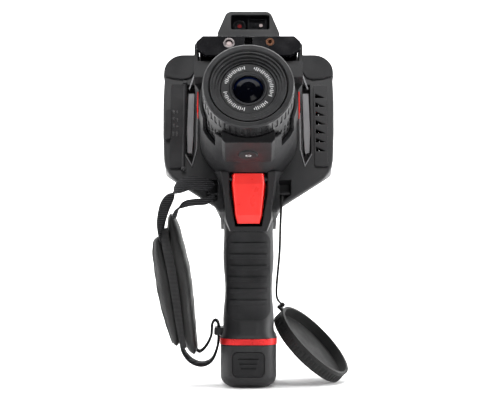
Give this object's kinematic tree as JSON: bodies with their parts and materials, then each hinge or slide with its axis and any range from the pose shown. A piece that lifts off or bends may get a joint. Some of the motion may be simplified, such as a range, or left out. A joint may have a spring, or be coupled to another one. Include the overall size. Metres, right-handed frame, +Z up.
{
  "type": "thermal imaging camera",
  "caption": "Handheld pistol-grip thermal imaging camera with tilted lens turret, red trigger, top viewfinder, removable battery base, hand strap and tethered lens cap.",
  "frame": {"origin": "centre of the battery's flat base, on the surface the camera stands on", "axes": "+Z up along the grip, +X to the right seen from the lens side; the lens looks towards -Y, tilted up 22 degrees"},
  "size_m": [0.1464, 0.1824, 0.275],
  "materials": {
    "housing": "matte textured",
    "turret": "matte",
    "bumper": "matte rubber",
    "silver_trim": "satin",
    "red_paint": "satin red",
    "red_band": "metallic red",
    "gloss_black": "gloss",
    "lens_metal": "black anodised",
    "lens_glass": "coated germanium",
    "clear_glass": "clear",
    "reflector": "bright",
    "brass": "satin",
    "steel": "satin",
    "board": "solder mask",
    "grip_rubber": "soft matte",
    "key_rubber": "matte",
    "screen": "gloss",
    "cell": "sleeve",
    "leather": "matte grain",
    "webbing": "ribbed weave",
    "tether": "braid",
    "cap": "matte"
  },
  "bodies": {
    "camera": {"front_housing": "housing", "rear_housing": "housing", "corner_bumpers": "bumper", "side_trims": "silver_trim", "accent_strips": "red_paint", "port_hinge_pin": "steel", "connector_block": "gloss_black", "vent_grille": "turret", "touch_glass": "screen", "display_panel": "screen", "main_board": "board", "detector_core": "lens_metal", "turret_shell": "turret", "forehead_plate": "gloss_black", "led_reflector": "reflector", "led_lens": "clear_glass", "range_window": "clear_glass", "laser_module": "brass", "lens_barrel": "lens_metal", "front_bezel": "lens_metal", "front_element": "lens_glass", "viewfinder_housing": "turret", "hood_window": "clear_glass", "visible_camera": "gloss_black", "eyepiece_tube": "lens_metal", "eyepiece_lens": "clear_glass", "eyecup": "bumper", "handle_front": "housing", "handle_rear": "housing", "grip_pad": "grip_rubber", "base_band": "red_band", "trigger_pin": "steel", "trigger_spring": "steel", "trigger_switch": "gloss_black", "trigger_surround": "turret", "strap_bars": "steel", "strap_lug": "turret", "housing_screws": "steel", "strap_pad_outer": "leather", "strap_pad_inner": "leather", "strap_web_upper": "webbing", "strap_web_lower": "webbing"},
    "focus": {"focus_ring": "lens_metal"},
    "focus_carriage": {"focus_cell": "lens_metal"},
    "trigger_body": {"trigger": "red_paint"},
    "battery": {"battery_case": "housing", "battery_cells": "cell"},
    "latch": {"latch_button": "bumper"},
    "turret_key": {"turret_button": "gloss_black"},
    "port_door": {"port_cover": "bumper"},
    "nav": {"nav_pad": "key_rubber"},
    "ok": {"ok_key": "key_rubber"},
    "back": {"back_key": "key_rubber"},
    "menu": {"menu_key": "key_rubber"},
    "power": {"power_key": "key_rubber"},
    "dioptre": {"dioptre_dial": "bumper"},
    "cap": {"lens_cap": "cap", "tether_knot": "tether", "tether_cord": "tether"}
  },
  "joints": [
    {"name": "focus_turn", "type": "hinge", "parent": "camera", "child": "focus", "pos_m": [0, -0.07683, 0.20568], "axis": [0, -0.9272, 0.3746], "range_deg": [-45, 45]},
    {"name": "focus_travel", "type": "slide", "parent": "camera", "child": "focus_carriage", "axis": [0, -0.9272, 0.3746], "range_m": [-0.0015, 0.0015]},
    {"name": "trigger_pull", "type": "hinge", "parent": "camera", "child": "trigger_body", "pos_m": [0, -0.043, 0.1526], "axis": [1, 0, 0], "range_deg": [0, 5], "stiffness_Nm_per_rad": 1.2, "springref_deg": -8.59},
    {"name": "battery_slide", "type": "slide", "parent": "camera", "child": "battery", "axis": [0, 0, -1], "range_m": [0, 0.11]},
    {"name": "latch_press", "type": "slide", "parent": "battery", "child": "latch", "axis": [0, 1, 0], "range_m": [0, 0.0014], "stiffness_N_per_m": 900, "springref_m": -0.0005},
    {"name": "turret_key_press", "type": "slide", "parent": "camera", "child": "turret_key", "axis": [0, 0.3746, 0.9272], "range_m": [0, 0.0007], "stiffness_N_per_m": 700, "springref_m": -0.0005},
    {"name": "port_hinge", "type": "hinge", "parent": "camera", "child": "port_door", "pos_m": [-0.0473, -0.01875, 0.193], "axis": [0, 0.3746, 0.9272], "range_deg": [0, 100]},
    {"name": "nav_press", "type": "slide", "parent": "camera", "child": "nav", "axis": [0, -0.9272, 0.3746], "range_m": [0, 0.0005], "stiffness_N_per_m": 900, "springref_m": -0.0005},
    {"name": "ok_press", "type": "slide", "parent": "camera", "child": "ok", "axis": [0, -0.9272, 0.3746], "range_m": [0, 0.0006], "stiffness_N_per_m": 700, "springref_m": -0.0005},
    {"name": "back_press", "type": "slide", "parent": "camera", "child": "back", "axis": [0, -0.9272, 0.3746], "range_m": [0, 0.0006], "stiffness_N_per_m": 700, "springref_m": -0.0005},
    {"name": "menu_press", "type": "slide", "parent": "camera", "child": "menu", "axis": [0, -0.9272, 0.3746], "range_m": [0, 0.0006], "stiffness_N_per_m": 700, "springref_m": -0.0005},
    {"name": "power_press", "type": "slide", "parent": "camera", "child": "power", "axis": [0, -0.9272, 0.3746], "range_m": [0, 0.0006], "stiffness_N_per_m": 700, "springref_m": -0.0005},
    {"name": "dioptre_turn", "type": "hinge", "parent": "camera", "child": "dioptre", "pos_m": [0, 0.05046, 0.23244], "axis": [0, -0.9272, 0.3746], "range_deg": [-40, 40]},
    {"name": "cap_swing", "type": "hinge", "parent": "camera", "child": "cap", "pos_m": [0.0244, -0.034, 0.1418], "axis": [0, -1, 0], "range_deg": [0, 60]}
  ],
  "couplings": [
    {"joint": "focus_travel", "follows": "focus_turn", "m_per_rad": 0.0019}
  ]
}
